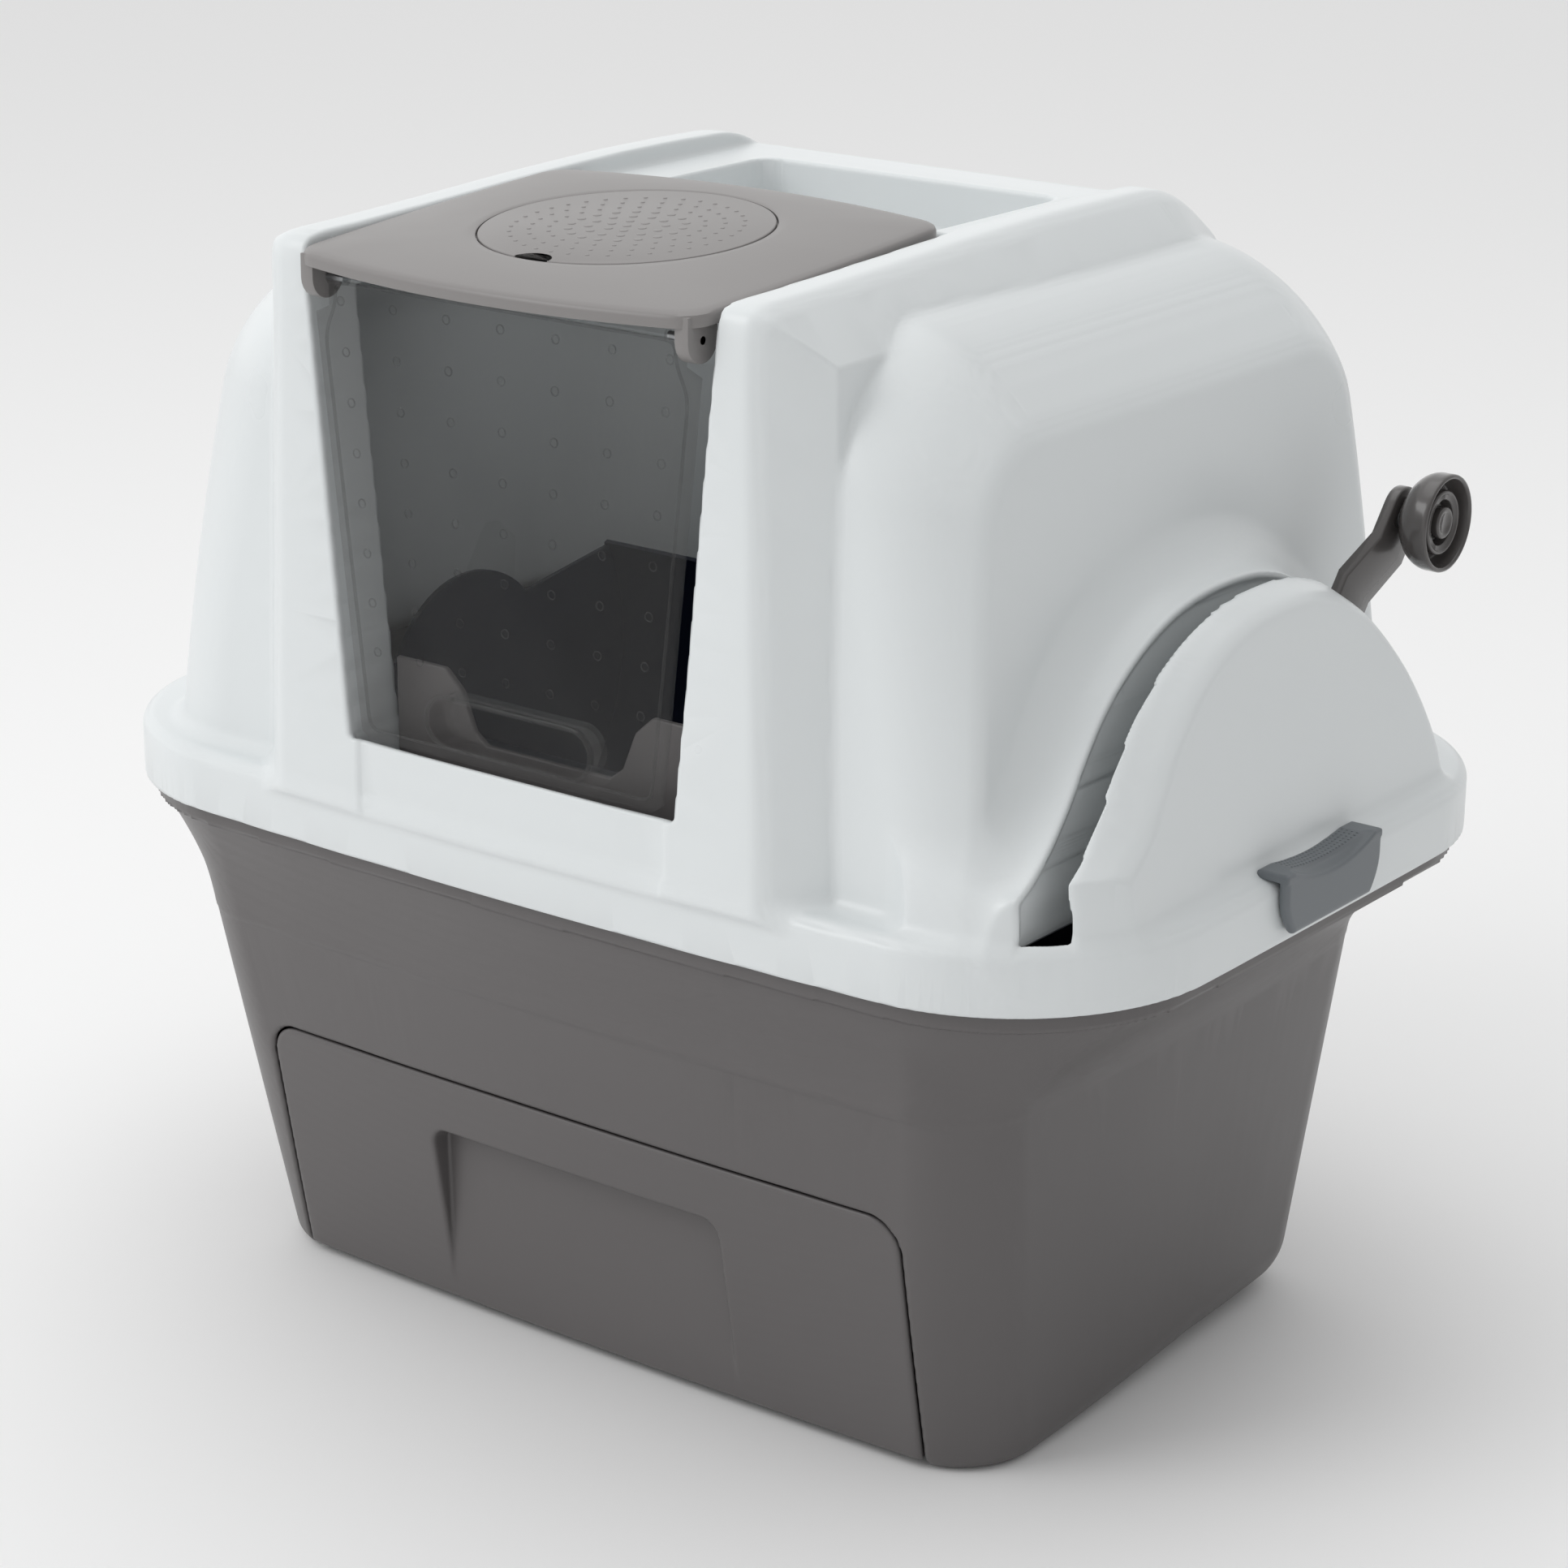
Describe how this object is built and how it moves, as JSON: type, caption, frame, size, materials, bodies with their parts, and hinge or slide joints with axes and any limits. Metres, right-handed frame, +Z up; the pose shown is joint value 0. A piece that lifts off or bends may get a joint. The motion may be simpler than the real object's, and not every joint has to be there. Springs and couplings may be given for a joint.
{
  "type": "hooded litter box",
  "caption": "Hooded sifting litter box with a clear front flap, a top hatch with a round air filter, a side lever that turns the pan and a waste drawer in the base.",
  "frame": {"origin": "on the floor under the middle of the hood rim, level with the lowest face of the tub", "axes": "+X towards the lever side, +Y towards the back (the flap door faces -Y), +Z up"},
  "size_m": [0.673, 0.4917, 0.6036],
  "materials": {
    "hood_plastic": "satin moulded polypropylene, cool white",
    "base_plastic": "satin moulded polypropylene, warm dark grey",
    "hatch_plastic": "satin moulded polypropylene, mid grey",
    "lever_plastic": "glossy moulded nylon, dark grey",
    "latch_plastic": "satin moulded polypropylene, blue grey",
    "pan_plastic": "satin moulded polypropylene, navy",
    "inner_plastic": "satin moulded polypropylene, grey",
    "door_clear": "clear smoked moulded styrene, polished",
    "carbon_foam": "activated-carbon foam, open pored",
    "pin_metal": "drawn steel wire"
  },
  "bodies": {
    "base": {"base_shell": "base_plastic", "drawer_deck": "base_plastic", "drawer_rail_left": "base_plastic", "drawer_rail_right": "base_plastic", "bearing_left": "base_plastic", "bearing_right": "base_plastic", "entry_guard": "inner_plastic", "hood_shell": "hood_plastic", "hatch_pins": "pin_metal", "latch_pins": "pin_metal"},
    "sifter": {"litter_pan": "pan_plastic", "sifting_grid": "inner_plastic", "pan_axle_left": "lever_plastic", "drive_shaft": "lever_plastic", "lever_arm": "lever_plastic", "knob_spindle": "pin_metal"},
    "knob": {"knob_cup": "lever_plastic", "knob_cap": "lever_plastic"},
    "hatch": {"hatch_lid": "hatch_plastic", "filter_basket": "hatch_plastic", "carbon_filter": "carbon_foam", "door_pins": "pin_metal"},
    "cover": {"filter_cover": "hatch_plastic"},
    "door": {"door_panel": "door_clear"},
    "drawer": {"waste_drawer": "base_plastic"},
    "clip_left": {"latch_left": "latch_plastic"},
    "clip_right": {"latch_right": "latch_plastic"}
  },
  "joints": [
    {"name": "sifter_turn", "type": "hinge", "parent": "base", "child": "sifter", "pos_m": [0, -0.01, 0.29], "axis": [1, 0, 0], "range_deg": [0, 103]},
    {"name": "knob_spin", "type": "hinge", "parent": "sifter", "child": "knob", "pos_m": [0.31, 0.11838, 0.44854], "axis": [1, 0, 0], "continuous": true},
    {"name": "hatch_lift", "type": "hinge", "parent": "base", "child": "hatch", "pos_m": [0, -0.054, 0.592], "axis": [-1, 0, 0], "range_deg": [0, 95]},
    {"name": "cover_turn", "type": "hinge", "parent": "hatch", "child": "cover", "pos_m": [0, -0.1378, 0.5913], "axis": [0, -0.068, 0.9977], "range_deg": [0, 30]},
    {"name": "door_swing", "type": "hinge", "parent": "hatch", "child": "door", "pos_m": [0, -0.231, 0.574], "axis": [-1, 0, 0], "range_deg": [-4, 80]},
    {"name": "drawer_slide", "type": "slide", "parent": "base", "child": "drawer", "axis": [0, -1, 0], "range_m": [0, 0.28]},
    {"name": "latch_left_turn", "type": "hinge", "parent": "base", "child": "clip_left", "pos_m": [-0.3335, -0.006, 0.2825], "axis": [0, -1, 0], "range_deg": [0, 40]},
    {"name": "latch_right_turn", "type": "hinge", "parent": "base", "child": "clip_right", "pos_m": [0.3335, -0.006, 0.2825], "axis": [0, 1, 0], "range_deg": [0, 40]}
  ]
}
